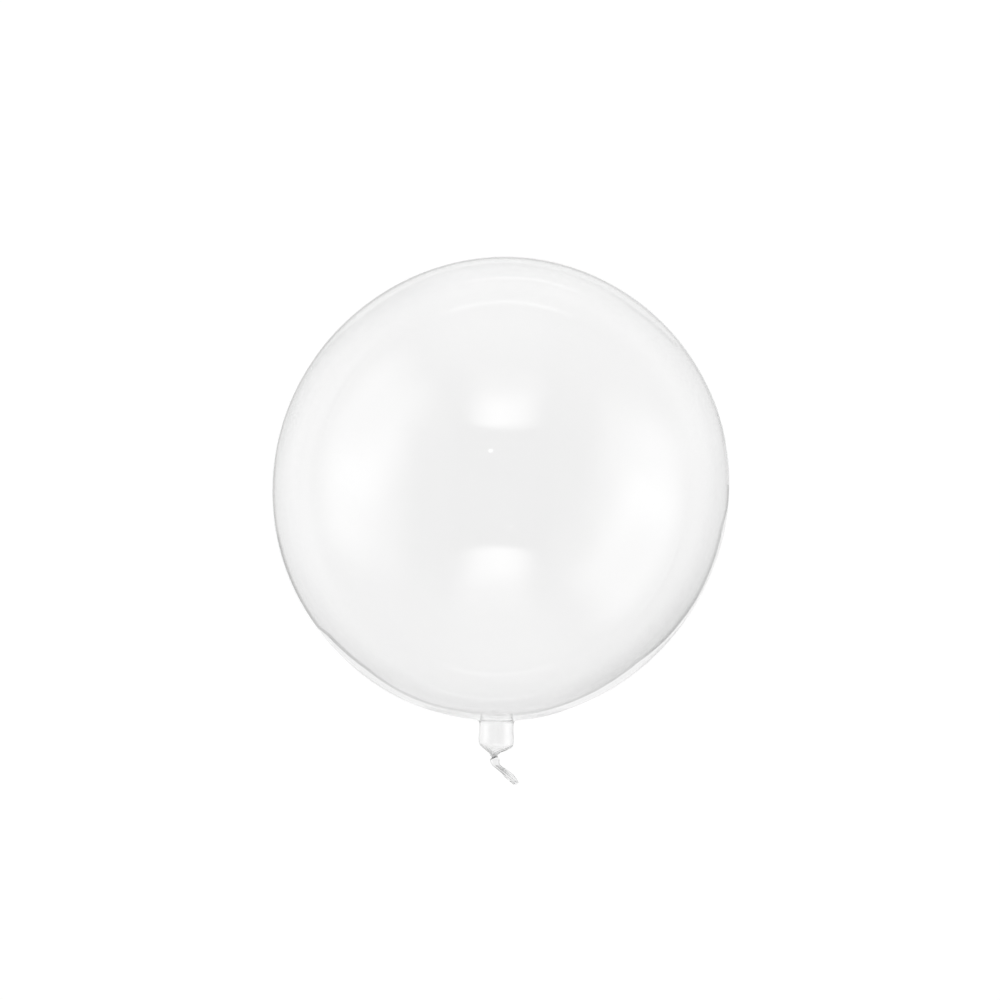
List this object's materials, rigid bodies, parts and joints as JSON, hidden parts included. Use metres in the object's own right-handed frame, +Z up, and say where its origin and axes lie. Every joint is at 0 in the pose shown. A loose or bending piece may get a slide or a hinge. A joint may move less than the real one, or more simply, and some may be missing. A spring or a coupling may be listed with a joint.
{
  "type": "clear sphere balloon",
  "caption": "Clear, see-through ball of stretch film with a short inflated neck, twisted shut below into a thin bent tail.",
  "frame": {"origin": "centre of the flat spot that the balloon lies on", "axes": "+Z up, crown towards +Y, neck and tail towards -Y, tail bent towards +X; the picture looks down along -Z"},
  "size_m": [0.4, 0.4627, 0.3978],
  "materials": {
    "clear_film": "thin clear stretch film, glossy and colourless"
  },
  "bodies": {
    "root": {"balloon": "clear_film"}
  },
  "joints": []
}
